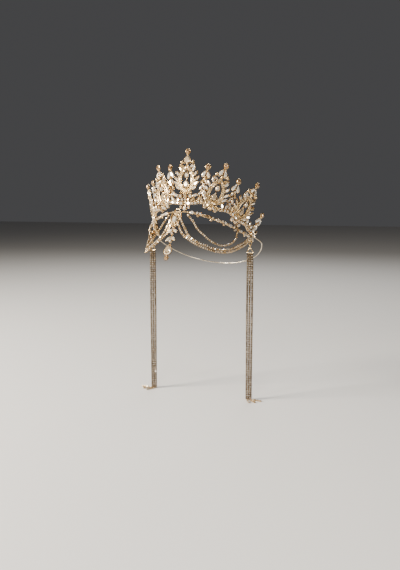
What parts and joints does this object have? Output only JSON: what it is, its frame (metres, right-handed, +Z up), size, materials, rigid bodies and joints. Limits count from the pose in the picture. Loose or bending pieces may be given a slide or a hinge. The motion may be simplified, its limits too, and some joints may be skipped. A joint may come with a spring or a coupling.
{
  "type": "bridal crown",
  "caption": "Tall bridal crown of leaf-shaped jewelled motifs on a band, with chain festoons, a swinging forehead drop and long side tassels.",
  "frame": {"origin": "centre of the tilted oval where the crown's band sits on the head", "axes": "+Z up as worn, -Y the front over the forehead, +X towards the wearer's left ear, which is on the right as seen from the front"},
  "size_m": [0.1932, 0.2018, 0.3539],
  "materials": {
    "back_wire": "polished pale gold plate with small clear stones",
    "crest_pear": "clear faceted crystal, faintly champagne",
    "crown_frame": "polished pale gold plate with small clear stones",
    "double_chain_lower_left": "pale gold plated chain set with small clear stones",
    "double_chain_lower_right": "pale gold plated chain set with small clear stones",
    "double_chain_upper_left": "pale gold plated chain set with small clear stones",
    "double_chain_upper_right": "pale gold plated chain set with small clear stones",
    "drop_end_stone": "clear faceted crystal, faintly champagne",
    "drop_frame": "polished pale gold plate with small clear stones",
    "drop_stone": "clear faceted crystal, faintly champagne",
    "end_cluster_left": "polished pale gold plate with small clear stones",
    "end_cluster_right": "polished pale gold plate with small clear stones",
    "festoon_left": "polished pale gold plate with small clear stones",
    "festoon_right": "polished pale gold plate with small clear stones",
    "plaque": "polished pale gold plate with small clear stones",
    "plaque_stone": "clear faceted crystal, faintly champagne",
    "single_chain_left": "pale gold plated chain set with small clear stones",
    "single_chain_right": "pale gold plated chain set with small clear stones",
    "tassel_left": "pale gold plated chain set with small clear stones",
    "tassel_link_1_left": "polished pale gold plate with small clear stones",
    "tassel_link_1_right": "polished pale gold plate with small clear stones",
    "tassel_link_2_left": "polished pale gold plate with small clear stones",
    "tassel_link_2_right": "polished pale gold plate with small clear stones",
    "tassel_right": "pale gold plated chain set with small clear stones",
    "tassel_ring_left": "polished pale gold plate with small clear stones",
    "tassel_ring_right": "polished pale gold plate with small clear stones",
    "tassel_tail_1_left": "polished pale gold plate with small clear stones",
    "tassel_tail_1_right": "polished pale gold plate with small clear stones",
    "tassel_tail_2_left": "polished pale gold plate with small clear stones",
    "tassel_tail_2_right": "polished pale gold plate with small clear stones",
    "tassel_tail_3_left": "polished pale gold plate with small clear stones",
    "tassel_tail_3_right": "polished pale gold plate with small clear stones",
    "teardrop_c": "clear faceted crystal, faintly champagne",
    "teardrop_l1": "clear faceted crystal, faintly champagne",
    "teardrop_l2": "clear faceted crystal, faintly champagne",
    "teardrop_r1": "clear faceted crystal, faintly champagne",
    "teardrop_r2": "clear faceted crystal, faintly champagne",
    "top_bead_c": "clear faceted crystal, faintly champagne",
    "top_bead_l1": "clear faceted crystal, faintly champagne",
    "top_bead_l2": "clear faceted crystal, faintly champagne",
    "top_bead_l3": "clear faceted crystal, faintly champagne",
    "top_bead_l4": "clear faceted crystal, faintly champagne",
    "top_bead_l5": "clear faceted crystal, faintly champagne",
    "top_bead_r1": "clear faceted crystal, faintly champagne",
    "top_bead_r2": "clear faceted crystal, faintly champagne",
    "top_bead_r3": "clear faceted crystal, faintly champagne",
    "top_bead_r4": "clear faceted crystal, faintly champagne",
    "top_bead_r5": "clear faceted crystal, faintly champagne",
    "upper_stone_c": "clear faceted crystal, faintly champagne",
    "upper_stone_l1": "clear faceted crystal, faintly champagne",
    "upper_stone_l2": "clear faceted crystal, faintly champagne",
    "upper_stone_r1": "clear faceted crystal, faintly champagne",
    "upper_stone_r2": "clear faceted crystal, faintly champagne"
  },
  "bodies": {
    "crown": {"back_wire": "back_wire", "crest_pear": "crest_pear", "crown_frame": "crown_frame", "double_chain_lower_left": "double_chain_lower_left", "double_chain_lower_right": "double_chain_lower_right", "double_chain_upper_left": "double_chain_upper_left", "double_chain_upper_right": "double_chain_upper_right", "end_cluster_left": "end_cluster_left", "end_cluster_right": "end_cluster_right", "festoon_left": "festoon_left", "festoon_right": "festoon_right", "plaque": "plaque", "plaque_stone": "plaque_stone", "single_chain_left": "single_chain_left", "single_chain_right": "single_chain_right", "tassel_left": "tassel_left", "tassel_link_1_left": "tassel_link_1_left", "tassel_link_1_right": "tassel_link_1_right", "tassel_link_2_left": "tassel_link_2_left", "tassel_link_2_right": "tassel_link_2_right", "tassel_right": "tassel_right", "tassel_ring_left": "tassel_ring_left", "tassel_ring_right": "tassel_ring_right", "tassel_tail_1_left": "tassel_tail_1_left", "tassel_tail_1_right": "tassel_tail_1_right", "tassel_tail_2_left": "tassel_tail_2_left", "tassel_tail_2_right": "tassel_tail_2_right", "tassel_tail_3_left": "tassel_tail_3_left", "tassel_tail_3_right": "tassel_tail_3_right", "teardrop_c": "teardrop_c", "teardrop_l1": "teardrop_l1", "teardrop_l2": "teardrop_l2", "teardrop_r1": "teardrop_r1", "teardrop_r2": "teardrop_r2", "top_bead_c": "top_bead_c", "top_bead_l1": "top_bead_l1", "top_bead_l2": "top_bead_l2", "top_bead_l3": "top_bead_l3", "top_bead_l4": "top_bead_l4", "top_bead_l5": "top_bead_l5", "top_bead_r1": "top_bead_r1", "top_bead_r2": "top_bead_r2", "top_bead_r3": "top_bead_r3", "top_bead_r4": "top_bead_r4", "top_bead_r5": "top_bead_r5", "upper_stone_c": "upper_stone_c", "upper_stone_l1": "upper_stone_l1", "upper_stone_l2": "upper_stone_l2", "upper_stone_r1": "upper_stone_r1", "upper_stone_r2": "upper_stone_r2"},
    "forehead_drop": {"drop_frame": "drop_frame", "drop_stone": "drop_stone", "drop_end_stone": "drop_end_stone"}
  },
  "joints": [
    {"name": "forehead_drop_swing", "type": "hinge", "parent": "crown", "child": "forehead_drop", "pos_m": [-0.00827, -0.09338, 0.01546], "axis": [-0.9929, 0.103, -0.0595], "range_deg": [0, 60]}
  ]
}
